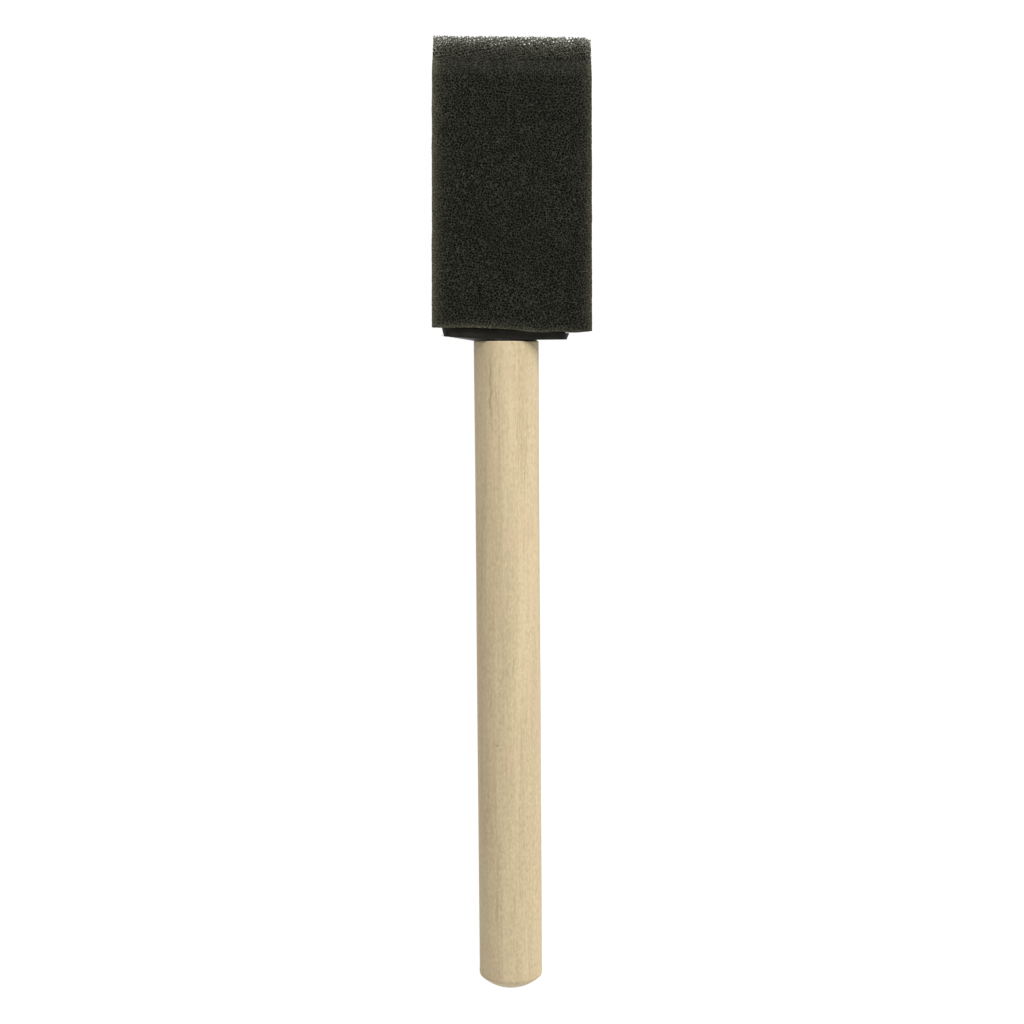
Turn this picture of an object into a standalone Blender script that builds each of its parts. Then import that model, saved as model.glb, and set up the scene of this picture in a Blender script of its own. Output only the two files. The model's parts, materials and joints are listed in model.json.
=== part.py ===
"""Foam sponge brush: a bevelled foam block on a plastic core, which sockets onto a round wooden handle.

The brush lies on its broad face with +Z up. Its long axis is Y, with the painting edge at +Y.
The origin is under the centre of the brush, on the surface it lies on.
"""

import math

import bmesh
import bpy
from mathutils import Matrix

MM = 0.001

# Foam block. Its length runs from its base, on the core's axis, to the painting edge.
FOAM_LENGTH = 45.5 * MM
FOAM_BASE_WIDTH = 25.0 * MM
FOAM_EDGE_WIDTH = 24.35 * MM
FOAM_THICKNESS = 12.0 * MM
BEVEL_LENGTH = 6.7 * MM
EDGE_THICKNESS = 1.8 * MM

# The bend: the foam past this line, measured back from the painting edge, folds about it.
BEND_TO_EDGE = 9.0 * MM
BEND_ANGLE = math.radians(45)
BEND_COVER = 1.5 * MM

# Handle. Its length runs from the shoulder that meets the core to the end of the dome.
HANDLE_LENGTH = 105.8 * MM
HANDLE_DIAMETER = 10.35 * MM
HANDLE_DOME = 2.2 * MM
SHOULDER_CHAMFER = 0.35 * MM
TENON_DIAMETER = 6.2 * MM
TENON_LENGTH = 9.0 * MM
TENON_CHAMFER = 0.5 * MM

# Core: the collar plate under the foam, the socket and the blade.
COLLAR_WIDTH = 20.1 * MM
COLLAR_DEPTH = 9.4 * MM
COLLAR_HEIGHT = 1.2 * MM
COLLAR_CORNER = 2.6 * MM
COLLAR_DRAFT = math.radians(20)
COLLAR_RISE = math.radians(2)
SOCKET_WALL = 0.9 * MM
SOCKET_FLOOR = 1.2 * MM
BLADE_MARGIN = 3.0 * MM
BLADE_THICKNESS = 1.8 * MM
BLADE_CORNER = 3.0 * MM
RIB_COUNT = 2
RIB_PITCH = 1.3 * MM
RIB_WIDTH = 0.6 * MM
RIB_HEIGHT = 0.5 * MM
RIB_INSET = 3.0 * MM

# Glue: a film on each face of the blade, joined through its windows, and a drop in the socket.
WINDOW_WIDTH = 3.6 * MM
WINDOW_SPACING = 9.0 * MM
GLUE_FILM = 0.4 * MM
GLUE_MARGIN = 1.4 * MM
SOCKET_DROP = 0.8 * MM

# How the pieces sit: the core is off the foam's centre line and a little askew, as is the handle.
CORE_OFFSET = -1.03 * MM
CORE_YAW = math.radians(-1.4)
HANDLE_YAW = math.radians(0.43)

# Every pair of pieces that touch keeps this gap, and every cutter runs this far past its wall.
GAP = 0.3 * MM
OVERRUN = 2.0 * MM

ROUND_STEPS = 64
ARC_STEPS = 24
CORNER_STEPS = 8

# Places along Y are measured from the handle's shoulder until the frame below sets them down.
COLLAR_BASE = GAP / 2 + HANDLE_DIAMETER / 2 * math.tan(HANDLE_YAW - CORE_YAW)
COLLAR_TOP = COLLAR_BASE + COLLAR_HEIGHT
FOAM_BASE = COLLAR_TOP + GAP
FOAM_EDGE = FOAM_BASE + FOAM_LENGTH
BEND_LINE = FOAM_EDGE - BEND_TO_EDGE
BEND_RADIUS = FOAM_THICKNESS / 2
SEAT_RADIUS = BEND_RADIUS + GAP
BLADE_END = BEND_LINE - SEAT_RADIUS - BEND_COVER
BLADE_WIDTH = FOAM_BASE_WIDTH - 2 * BLADE_MARGIN
SOCKET_DEPTH = TENON_LENGTH + GAP + SOCKET_DROP + GAP
SOCKET_RADIUS = TENON_DIAMETER / 2 + GAP
BOSS_END = SOCKET_DEPTH + SOCKET_FLOOR
BOSS_RADIUS = SOCKET_RADIUS + SOCKET_WALL
RIB_START = BLADE_END - BLADE_CORNER / 2 - RIB_COUNT * RIB_PITCH
GLUE_START = BOSS_END + GLUE_MARGIN
GLUE_END = RIB_START - GLUE_MARGIN

# The frame: the shoulder's place on Y puts the origin half way along the brush.
SHOULDER_Y = (HANDLE_LENGTH - FOAM_EDGE) / 2
AXIS_HEIGHT = max(FOAM_THICKNESS, HANDLE_DIAMETER, COLLAR_DEPTH) / 2
FOAM_PLACE = Matrix.Translation((0, SHOULDER_Y, AXIS_HEIGHT))
CORE_PLACE = Matrix.Translation((CORE_OFFSET, SHOULDER_Y, AXIS_HEIGHT)) @ Matrix.Rotation(CORE_YAW, 4, "Z")
HANDLE_PLACE = (
    Matrix.Translation((CORE_OFFSET, SHOULDER_Y, AXIS_HEIGHT))
    @ Matrix.Rotation(HANDLE_YAW, 4, "Z")
    @ Matrix.Rotation(-math.pi / 2, 4, "X")
)
BEND_PLACE = Matrix.Translation((0, SHOULDER_Y + BEND_LINE, AXIS_HEIGHT))

# Outlines are drawn in their own XY plane. These turn that plane to face along X or along Y.
SIDE_ON = Matrix(((0, 0, 1, 0), (1, 0, 0, 0), (0, 1, 0, 0), (0, 0, 0, 1)))
END_ON = Matrix(((1, 0, 0, 0), (0, 0, -1, 0), (0, 1, 0, 0), (0, 0, 0, 1)))


def clear_scene():
    for obj in list(bpy.data.objects):
        bpy.data.objects.remove(obj, do_unlink=True)


def new_collection(name):
    collection = bpy.data.collections.new(name)
    bpy.context.scene.collection.children.link(collection)
    return collection


def new_material(name, colour, roughness):
    material = bpy.data.materials.new(name)
    material.use_nodes = True
    shader = material.node_tree.nodes["Principled BSDF"]
    shader.inputs["Base Color"].default_value = (*colour, 1)
    shader.inputs["Roughness"].default_value = roughness
    shader.inputs["Metallic"].default_value = 0
    return material


def arc(centre, radius, start, end, steps):
    """Points along an arc, both ends included, from the start angle to the end angle in degrees."""
    angles = [math.radians(start + (end - start) * i / steps) for i in range(steps + 1)]
    return [(centre[0] + radius * math.cos(a), centre[1] + radius * math.sin(a)) for a in angles]


def rounded_rectangle(width, height, radius):
    """Four corners joined by arcs. The radius is at most what half of the shorter side leaves room for."""
    radius = min(radius, 0.45 * width, 0.45 * height)
    x = width / 2 - radius
    y = height / 2 - radius
    points = []
    for sign_x, sign_y, start in ((1, 1, 0), (-1, 1, 90), (-1, -1, 180), (1, -1, 270)):
        points += arc((sign_x * x, sign_y * y), radius, start, start + 90, CORNER_STEPS)
    return points


def prism(name, outline, depth, place, collection, material=None):
    """A flat outline made solid, half the depth to each side, with its mesh laid in the given place."""
    curve = bpy.data.curves.new(name, "CURVE")
    curve.dimensions = "2D"
    curve.fill_mode = "BOTH"
    curve.extrude = depth / 2
    spline = curve.splines.new("POLY")
    spline.points.add(len(outline) - 1)
    for point, (x, y) in zip(spline.points, outline):
        point.co = (x, y, 0, 1)
    spline.use_cyclic_u = True
    guide = bpy.data.objects.new(name + "_outline", curve)
    collection.objects.link(guide)
    graph = bpy.context.evaluated_depsgraph_get()
    mesh = bpy.data.meshes.new_from_object(guide.evaluated_get(graph))
    bpy.data.objects.remove(guide, do_unlink=True)
    bpy.data.curves.remove(curve)
    mesh.name = name
    mesh.transform(place)
    welded = bmesh.new()
    welded.from_mesh(mesh)
    bmesh.ops.remove_doubles(welded, verts=welded.verts, dist=GAP / 100)
    bmesh.ops.recalc_face_normals(welded, faces=welded.faces)
    welded.to_mesh(mesh)
    welded.free()
    return add_object(name, mesh, collection, material)


def turned(name, profile, place, collection, material=None):
    """A profile of (radius, height) points, from the top down, turned about its own Z and then placed."""
    mesh = bpy.data.meshes.new(name)
    points = [(radius, 0, height) for radius, height in profile]
    mesh.from_pydata(points, [(i, i + 1) for i in range(len(points) - 1)], [])
    obj = add_object(name, mesh, collection, material)
    obj.matrix_world = place
    screw = obj.modifiers.new("Turn", "SCREW")
    screw.axis = "Z"
    screw.steps = ROUND_STEPS
    screw.render_steps = ROUND_STEPS
    screw.use_merge_vertices = True
    screw.merge_threshold = GAP / 100
    screw.use_smooth_shade = True
    return obj


def add_object(name, mesh, collection, material):
    obj = bpy.data.objects.new(name, mesh)
    collection.objects.link(obj)
    if material is None:
        obj.hide_render = True
        obj.display_type = "WIRE"
    else:
        mesh.materials.clear()
        mesh.materials.append(material)
    return obj


def combine(target, others, operation):
    for other in others:
        modifier = target.modifiers.new(f"{operation.title()} {other.name}", "BOOLEAN")
        modifier.operation = operation
        modifier.solver = "EXACT"
        modifier.object = other


def move_origin(obj, place):
    """Puts the object's origin at the place and leaves its shape where it is."""
    obj.data.transform(place.inverted())
    obj.matrix_world = place


def foam_plan():
    """The foam seen from above: it tapers to the painting edge, and its base lies along the collar."""
    past = FOAM_EDGE + OVERRUN
    left, right = -FOAM_BASE_WIDTH / 2, FOAM_BASE_WIDTH / 2
    narrowing = (FOAM_BASE_WIDTH - FOAM_EDGE_WIDTH) / 2 * (past - FOAM_BASE) / FOAM_LENGTH
    slope = math.tan(CORE_YAW)
    base = FOAM_BASE / math.cos(CORE_YAW)
    return [
        (left, base + slope * (left - CORE_OFFSET)),
        (right, base + slope * (right - CORE_OFFSET)),
        (right - narrowing, past),
        (left + narrowing, past),
    ]


def head_side():
    """The held part of the foam from the side: a block with a round seat at the bend.

    The seat's lips are trimmed back so that the tip's broad faces clear them when it folds.
    """
    half = FOAM_THICKNESS / 2
    # A lip this far round the seat stays GAP / 2 off a broad face that has turned by BEND_ANGLE.
    lip = math.degrees(BEND_ANGLE - math.acos((BEND_RADIUS + GAP / 2) / SEAT_RADIUS))
    start = -OVERRUN
    seat = arc((BEND_LINE, 0), SEAT_RADIUS, 90 + lip, 270 - lip, ARC_STEPS)
    return [(start, half), (start, -half), (seat[-1][0], -half), *reversed(seat), (seat[0][0], half)]


def tip_side():
    """The free part of the foam from the side: a round back about the bend, then two bevels."""
    half = FOAM_THICKNESS / 2
    edge = EDGE_THICKNESS / 2
    back = arc((BEND_LINE, 0), BEND_RADIUS, 90, 270, ARC_STEPS)
    bevel = FOAM_EDGE - BEVEL_LENGTH
    return [*back, (bevel, -half), (FOAM_EDGE, -edge), (FOAM_EDGE, edge), (bevel, half)]


def blade_plan(grow):
    """The blade from above, with its free corners rounded, grown by the clearance on every side."""
    half = BLADE_WIDTH / 2 + grow
    radius = BLADE_CORNER + grow
    end = BLADE_END + grow
    right = arc((half - radius, end - radius), radius, 0, 90, CORNER_STEPS)
    left = arc((radius - half, end - radius), radius, 90, 180, CORNER_STEPS)
    root = (COLLAR_BASE + COLLAR_TOP) / 2
    return [(-half, root), (half, root), *right, *left]


def rib_side(number, grow):
    """One grip rib from the side. It crosses the blade and stands out from both of its faces."""
    start = RIB_START + number * RIB_PITCH - grow
    end = start + RIB_WIDTH + 2 * grow
    crest = BLADE_THICKNESS / 2 + RIB_HEIGHT + grow
    return [(start, -crest), (end, -crest), (end, crest), (start, crest)]


def collar_plan():
    """The collar plate from above: drafted ends, and an underside that rises away from the handle."""
    top = COLLAR_WIDTH / 2
    bottom = top - COLLAR_HEIGHT * math.tan(COLLAR_DRAFT)
    inner = HANDLE_DIAMETER / 2
    rise = (bottom - inner) * math.tan(COLLAR_RISE)
    return [
        (-top, COLLAR_TOP),
        (-bottom, COLLAR_BASE + rise),
        (-inner, COLLAR_BASE),
        (inner, COLLAR_BASE),
        (bottom, COLLAR_BASE + rise),
        (top, COLLAR_TOP),
    ]


def window_plan(side, shrink):
    """One glue window from above, a slot with rounded ends, less the clearance on every side."""
    width = WINDOW_WIDTH - 2 * shrink
    length = GLUE_END - GLUE_START - 2 * GLUE_MARGIN - 2 * shrink
    x = side * WINDOW_SPACING / 2
    y = (GLUE_START + GLUE_END) / 2
    return [(x + dx, y + dy) for dx, dy in rounded_rectangle(width, length, width / 2)]


def glue_outline(grow):
    """The glue film from above, grown on every side."""
    width = BLADE_WIDTH - 2 * GLUE_MARGIN + 2 * grow
    length = GLUE_END - GLUE_START + 2 * grow
    middle = (GLUE_START + GLUE_END) / 2
    corners = rounded_rectangle(width, length, GLUE_MARGIN + grow)
    return [(x, y + middle) for x, y in corners]


def make_handle(collection, material):
    """The dowel, turned in one piece from its tenon to its dome."""
    radius = HANDLE_DIAMETER / 2
    tenon = TENON_DIAMETER / 2
    sphere = (radius**2 + HANDLE_DOME**2) / (2 * HANDLE_DOME)
    edge = math.degrees(math.asin(radius / sphere))
    dome = arc((0, sphere - HANDLE_LENGTH), sphere, edge - 90, -90, ARC_STEPS)
    profile = [
        (0, TENON_LENGTH),
        (tenon - TENON_CHAMFER, TENON_LENGTH),
        (tenon, TENON_LENGTH - TENON_CHAMFER),
        (tenon, 0),
        (radius - SHOULDER_CHAMFER, 0),
        (radius, -SHOULDER_CHAMFER),
        *dome[:-1],
        (0, -HANDLE_LENGTH),
    ]
    return turned("handle_dowel", profile, HANDLE_PLACE, collection, material)


def make_boss(name, grow, helpers):
    """The round socket's outside, grown by the clearance."""
    radius = BOSS_RADIUS + grow
    end = BOSS_END + grow
    root = (COLLAR_BASE + COLLAR_TOP) / 2
    profile = [(0, end), (radius - SOCKET_WALL, end), (radius, end - SOCKET_WALL), (radius, root), (0, root)]
    return turned(name, profile, HANDLE_PLACE, helpers)


def make_core(parts, helpers, material):
    """The collar plate with the blade, socket and grip ribs joined on, then bored and pierced."""
    core = prism("core", collar_plan(), COLLAR_DEPTH + 2 * OVERRUN, CORE_PLACE, parts, material)
    section = rounded_rectangle(COLLAR_WIDTH + GAP, COLLAR_DEPTH, COLLAR_CORNER)
    envelope = prism("collar_envelope", section, 2 * (COLLAR_TOP + OVERRUN), CORE_PLACE @ END_ON, helpers)
    combine(core, [envelope], "INTERSECT")
    added = [
        make_boss("core_boss", 0, helpers),
        prism("core_blade", blade_plan(0), BLADE_THICKNESS, CORE_PLACE, helpers),
    ]
    for number in range(RIB_COUNT):
        width = BLADE_WIDTH - 2 * RIB_INSET
        added.append(prism(f"core_rib_{number}", rib_side(number, 0), width, CORE_PLACE @ SIDE_ON, helpers))
    combine(core, added, "UNION")
    bore = [(0, SOCKET_DEPTH), (SOCKET_RADIUS, SOCKET_DEPTH), (SOCKET_RADIUS, -OVERRUN), (0, -OVERRUN)]
    removed = [turned("socket_bore", bore, HANDLE_PLACE, helpers)]
    for side, name in ((-1, "window_left"), (1, "window_right")):
        removed.append(prism(name, window_plan(side, 0), FOAM_THICKNESS, CORE_PLACE, helpers))
    combine(core, removed, "DIFFERENCE")
    return core


def make_foam(parts, helpers, material):
    """The head, pocketed for the core and its glue, and the tip, which turns about the bend."""
    wide = FOAM_BASE_WIDTH + 2 * OVERRUN
    tall = FOAM_THICKNESS + 2 * OVERRUN
    plan = prism("foam_plan", foam_plan(), tall, FOAM_PLACE, helpers)
    head = prism("foam_head", head_side(), wide, FOAM_PLACE @ SIDE_ON, parts, material)
    combine(head, [plan], "INTERSECT")
    pocket = [
        make_boss("pocket_boss", GAP, helpers),
        prism("pocket_blade", blade_plan(GAP), BLADE_THICKNESS + 2 * GAP, CORE_PLACE, helpers),
    ]
    for number in range(RIB_COUNT):
        width = BLADE_WIDTH - 2 * RIB_INSET + 2 * GAP
        side = rib_side(number, GAP)
        pocket.append(prism(f"pocket_rib_{number}", side, width, CORE_PLACE @ SIDE_ON, helpers))
    recess = BLADE_THICKNESS + 2 * (GAP + GLUE_FILM + GAP)
    pocket.append(prism("pocket_glue", glue_outline(GAP), recess, CORE_PLACE, helpers))
    combine(head, pocket, "DIFFERENCE")
    tip = prism("foam_tip", tip_side(), wide, FOAM_PLACE @ SIDE_ON, parts, material)
    combine(tip, [plan], "INTERSECT")
    move_origin(tip, BEND_PLACE)
    return head, tip


def make_glue(parts, helpers, material):
    """The foam's bond, two films joined through the windows, and the drop at the socket's floor."""
    outside = BLADE_THICKNESS + 2 * (GAP + GLUE_FILM)
    bond = prism("foam_glue", glue_outline(0), outside, CORE_PLACE, parts, material)
    slot = prism("glue_slot", glue_outline(OVERRUN), BLADE_THICKNESS + 2 * GAP, CORE_PLACE, helpers)
    combine(bond, [slot], "DIFFERENCE")
    plugs = []
    for side, name in ((-1, "glue_plug_left"), (1, "glue_plug_right")):
        depth = BLADE_THICKNESS + 2 * GAP + GLUE_FILM
        plugs.append(prism(name, window_plan(side, GAP), depth, CORE_PLACE, helpers))
    combine(bond, plugs, "UNION")
    top = TENON_LENGTH + GAP + SOCKET_DROP
    radius = TENON_DIAMETER / 2
    drop = [(0, top), (radius, top), (radius, top - SOCKET_DROP), (0, top - SOCKET_DROP)]
    turned("socket_glue", drop, HANDLE_PLACE, parts, material)
    return bond


def main():
    clear_scene()
    parts = new_collection("foam_sponge_brush")
    helpers = new_collection("cutters")
    wood = new_material("birch", (0.60, 0.48, 0.30), 0.65)
    plastic = new_material("black_plastic", (0.010, 0.010, 0.008), 0.45)
    foam = new_material("charcoal_foam", (0.020, 0.020, 0.016), 0.95)
    glue = new_material("hot_melt_glue", (0.72, 0.62, 0.38), 0.35)
    make_handle(parts, wood)
    make_core(parts, helpers, plastic)
    make_foam(parts, helpers, foam)
    make_glue(parts, helpers, glue)


main()
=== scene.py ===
import json
import math

import bmesh
import bpy
import numpy as np
from mathutils import Euler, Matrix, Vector

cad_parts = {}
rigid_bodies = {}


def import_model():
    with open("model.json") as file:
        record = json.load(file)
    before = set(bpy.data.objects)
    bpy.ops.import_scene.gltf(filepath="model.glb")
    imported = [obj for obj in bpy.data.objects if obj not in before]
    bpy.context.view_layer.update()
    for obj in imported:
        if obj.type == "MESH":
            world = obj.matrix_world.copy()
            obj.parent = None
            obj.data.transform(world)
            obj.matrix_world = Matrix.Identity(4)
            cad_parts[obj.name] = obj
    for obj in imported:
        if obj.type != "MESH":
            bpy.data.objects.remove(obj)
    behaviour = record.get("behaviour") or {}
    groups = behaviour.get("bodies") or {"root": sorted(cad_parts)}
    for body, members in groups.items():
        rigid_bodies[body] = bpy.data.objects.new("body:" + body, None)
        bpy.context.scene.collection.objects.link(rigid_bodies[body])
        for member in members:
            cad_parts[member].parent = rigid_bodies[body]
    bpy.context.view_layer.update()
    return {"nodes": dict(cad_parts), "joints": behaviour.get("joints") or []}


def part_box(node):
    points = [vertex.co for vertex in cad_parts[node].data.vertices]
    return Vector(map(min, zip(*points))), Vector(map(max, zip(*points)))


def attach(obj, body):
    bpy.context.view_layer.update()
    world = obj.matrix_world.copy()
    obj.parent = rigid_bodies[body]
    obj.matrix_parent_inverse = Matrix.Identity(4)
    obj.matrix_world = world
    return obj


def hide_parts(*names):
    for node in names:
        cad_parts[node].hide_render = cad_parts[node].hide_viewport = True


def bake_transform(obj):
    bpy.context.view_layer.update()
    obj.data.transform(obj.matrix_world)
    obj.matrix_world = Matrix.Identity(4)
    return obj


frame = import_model()
joint = frame["joints"][0]
print("frame loaded:", ", ".join(frame["nodes"]))

# sizes are in metres and colours are linear; the handle runs along Y, and the foam is at its +Y end
coreLow, coreHigh = (np.array(corner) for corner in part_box("core"))
headLow, headHigh = (np.array(corner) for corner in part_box("foam_head"))
tipLow, tipHigh = (np.array(corner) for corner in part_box("foam_tip"))
dowelLow, dowelHigh = (np.array(corner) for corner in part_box("handle_dowel"))
axisHeight = (dowelLow[2] + dowelHigh[2]) / 2
dowelRadius = (dowelHigh[2] - dowelLow[2]) / 2
tenonLength = 0.0090
shoulderY = dowelHigh[1] - tenonLength          # where the handle meets the core
handleTopX = dowelLow[0] + dowelRadius          # the handle's centre line at its shoulder
handleEndX = dowelHigh[0] - dowelRadius         # and at its far end
handleLength = shoulderY - dowelLow[1]
bakeMap = "OFBake"                              # the name of the flat layout that a texture bake reads


# helpers that work on whole arrays

def cellRandom(cells, seed):
    # three numbers from 0 to 1 for each whole-number cell: its place and the seed times large primes,
    # scrambled by a multiply and an add for each number, of which 20 bits in the middle are kept
    x, y, z = (cells[..., i].astype(np.int64) for i in range(3))
    mixed = (x * 73856093) ^ (y * 19349663) ^ (z * 83492791) ^ (seed * 2654435761)
    positive = 0x7FFFFFFFFFFFFFFF
    kept = 0xFFFFF
    numbers = []
    for count in (1, 2, 3):
        mixed = (mixed * 6364136223846793005 + 1442695040888963407 * count) & positive
        numbers.append(((mixed >> 33) & kept) / float(kept))
    return np.stack(numbers, axis=-1)


def smoothNoise(points, size, seed):
    # value noise from -1 to 1: random values at the corners of boxes of this size, blended smoothly
    scaled = points / np.asarray(size, float)
    corner = np.floor(scaled).astype(np.int64)
    part = scaled - corner
    part = part * part * (3 - 2 * part)
    total = np.zeros(points.shape[:-1])
    for step in np.ndindex(2, 2, 2):
        weight = np.prod(np.where(step, part, 1 - part), axis=-1)
        total += weight * cellRandom(corner + np.array(step), seed)[..., 0]
    return 2 * total - 1


def cellWalls(points, size, seed, margin=0.15, spread=0.7, wallWidth=0.5):
    # 1 on the walls between cells and 0 well inside one: the distance to the second nearest, less that to
    # the nearest, of one point per box, which is jittered by spread inside the box's margin
    scaled = points / size
    corner = np.floor(scaled).astype(np.int64)
    nearest = np.full(points.shape[:-1], 9.0)
    second = nearest.copy()
    for step in np.ndindex(3, 3, 3):
        cell = corner + np.array(step) - 1
        gap = np.linalg.norm(cell + margin + spread * cellRandom(cell, seed) - scaled, axis=-1)
        second = np.minimum(second, np.maximum(nearest, gap))
        nearest = np.minimum(nearest, gap)
    return 1 - np.clip((second - nearest) / wallWidth, 0, 1)


def ease(value, low, high):
    # 0 up to low, 1 from high, and a smooth step between them
    part = np.clip((value - low) / (high - low), 0, 1)
    return part * part * (3 - 2 * part)


def gridFaces(rows, columns):
    # four-cornered faces between neighbouring rows, closing round on the first column, and their flat
    # layout: the share of the way across for one side and down for the other
    row, column = np.meshgrid(np.arange(rows - 1), np.arange(columns), indexing="ij")
    here = row * columns
    below = here + columns
    after = (column + 1) % columns
    quads = np.stack([here + column, here + after, below + after, below + column], axis=-1)
    across = np.stack([column, column + 1, column + 1, column], axis=-1) / columns
    down = np.stack([row, row, row + 1, row + 1], axis=-1) / (rows - 1)
    return quads.reshape(-1, 4), np.stack([across, down], axis=-1).reshape(-1, 2)


def gridNormals(points):
    # unit normals of a closed grid: its slope along a row crossed with its slope down the rows
    along = np.roll(points, -1, axis=1) - np.roll(points, 1, axis=1)
    normals = np.cross(along, np.gradient(points, axis=0))
    return normals / np.maximum(np.linalg.norm(normals, axis=2, keepdims=True), 1e-12)


def makeMesh(name, points, faceSets, layout, attributes, material=None, closePoles=True):
    # a mesh from arrays: faceSets holds faces of one size each, layout has a place on the flat map for each
    # corner of a face, and closePoles merges the points that fall together at a pole
    mesh = bpy.data.meshes.new(name)
    mesh.vertices.add(len(points))
    mesh.vertices.foreach_set("co", points.astype(np.float32).ravel())
    corners = np.concatenate([faces.ravel() for faces in faceSets])
    sizes = np.concatenate([np.full(len(faces), faces.shape[1]) for faces in faceSets])
    mesh.loops.add(len(corners))
    mesh.loops.foreach_set("vertex_index", corners.astype(np.int32))
    mesh.polygons.add(len(sizes))
    mesh.polygons.foreach_set("loop_start", (np.cumsum(sizes) - sizes).astype(np.int32))
    mesh.update(calc_edges=True)
    mesh.uv_layers.new(name=bakeMap).uv.foreach_set("vector", layout.astype(np.float32).ravel())
    for key, values in attributes.items():
        attribute = mesh.attributes.new(key, "FLOAT", "POINT")
        attribute.data.foreach_set("value", values.astype(np.float32).ravel())
    if closePoles:
        work = bmesh.new()
        work.from_mesh(mesh)
        bmesh.ops.remove_doubles(work, verts=work.verts, dist=1e-6)
        bmesh.ops.dissolve_degenerate(work, edges=work.edges, dist=1e-7)
        work.to_mesh(mesh)
        work.free()
    mesh.shade_smooth()
    if material:
        mesh.materials.append(material)
    piece = bpy.data.objects.new(name, mesh)
    bpy.context.scene.collection.objects.link(piece)
    print(name + ":", len(mesh.polygons), "faces")
    return piece


# helpers that build materials

def newMaterial(name):
    # a material, its node tree and its main shader
    material = bpy.data.materials.new(name)
    material.use_nodes = True
    tree = material.node_tree
    return material, tree, tree.nodes["Principled BSDF"]


def addNode(tree, kind, inputs=None, **settings):
    # one node with its settings; an input that is a socket is linked, and anything else is its value
    node = tree.nodes.new(kind)
    for key, value in settings.items():
        setattr(node, key, value)
    for key, value in (inputs or {}).items():
        if isinstance(value, bpy.types.NodeSocket):
            tree.links.new(value, node.inputs[key])
        else:
            node.inputs[key].default_value = value
    return node


def maths(tree, operation, first, second=0.0, clamp=False):
    # one sum on two values, held between 0 and 1 if clamped
    node = addNode(tree, "ShaderNodeMath", {0: first, 1: second}, operation=operation, use_clamp=clamp)
    return node.outputs[0]


def remap(tree, value, low, high, newLow=0.0, newHigh=1.0):
    # newLow up to low, newHigh from high, and a straight line between them
    ranges = {"Value": value, "From Min": low, "From Max": high, "To Min": newLow, "To Max": newHigh}
    return addNode(tree, "ShaderNodeMapRange", ranges).outputs["Result"]


def mixColours(tree, factor, first, second):
    # the first colour where the factor is 0 and the second where it is 1
    first = first if isinstance(first, bpy.types.NodeSocket) else (*first, 1)
    second = second if isinstance(second, bpy.types.NodeSocket) else (*second, 1)
    inputs = {0: factor, 6: first, 7: second}
    return addNode(tree, "ShaderNodeMix", inputs, data_type="RGBA").outputs[2]


def readAttribute(tree, name):
    # a value that the mesh stores at each point
    return addNode(tree, "ShaderNodeAttribute", attribute_name=name).outputs["Fac"]


def place(tree, stretch=(1, 1, 1), turn=(0, 0, 0), centre=(0, 0, 0)):
    # object coordinates about a centre, turned, and stretched so that a pattern is longer along an axis
    coordinates = addNode(tree, "ShaderNodeTexCoord").outputs["Object"]
    inputs = {"Vector": coordinates, "Location": centre, "Rotation": turn, "Scale": stretch}
    return addNode(tree, "ShaderNodeMapping", inputs, vector_type="TEXTURE").outputs["Vector"]


def noise(tree, vector, size, detail=2.0, rough=0.5):
    # cloudy noise whose lumps are about this size
    inputs = {"Vector": vector, "Scale": 1 / size, "Detail": detail, "Roughness": rough}
    return addNode(tree, "ShaderNodeTexNoise", inputs).outputs["Fac"]


def addBump(tree, surface, height, depth, strength=1.0):
    # heights from 0 to 1 over this depth, as a bump on the shader's normal
    bump = addNode(tree, "ShaderNodeBump", {"Height": height, "Strength": strength, "Distance": depth})
    tree.links.new(bump.outputs["Normal"], surface.inputs["Normal"])


def makeSpeckGroup():
    # shared by all finishes: round spots that fade from their centres, and clouds about eight times as wide
    group = bpy.data.node_groups.new("fineSpecks", "ShaderNodeTree")
    group.interface.new_socket(name="Vector", in_out="INPUT", socket_type="NodeSocketVector")
    for name in ("Spots per metre", "Spot size"):
        group.interface.new_socket(name=name, in_out="INPUT", socket_type="NodeSocketFloat")
    for name in ("Spots", "Clouds"):
        group.interface.new_socket(name=name, in_out="OUTPUT", socket_type="NodeSocketFloat")
    given = group.nodes.new("NodeGroupInput")
    result = group.nodes.new("NodeGroupOutput")
    vector, count, size = (given.outputs[i] for i in range(3))
    cells = addNode(group, "ShaderNodeTexVoronoi", {"Vector": vector, "Scale": count})
    distance = maths(group, "DIVIDE", cells.outputs["Distance"], size)
    spots = maths(group, "SUBTRACT", 1.0, distance, clamp=True)
    wide = maths(group, "MULTIPLY", count, 0.12)
    inputs = {"Vector": vector, "Scale": wide, "Detail": 3.0}
    clouds = addNode(group, "ShaderNodeTexNoise", inputs).outputs["Fac"]
    group.links.new(spots, result.inputs["Spots"])
    group.links.new(clouds, result.inputs["Clouds"])
    return group


fineSpecks = makeSpeckGroup()


def addSpecks(tree, vector, count, size):
    # the shared group with this finish's own values, and its spots and clouds
    node = addNode(tree, "ShaderNodeGroup", node_tree=fineSpecks)
    tree.links.new(vector, node.inputs["Vector"])
    node.inputs["Spots per metre"].default_value = count
    node.inputs["Spot size"].default_value = size
    return node.outputs["Spots"], node.outputs["Clouds"]


# the foam block

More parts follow.
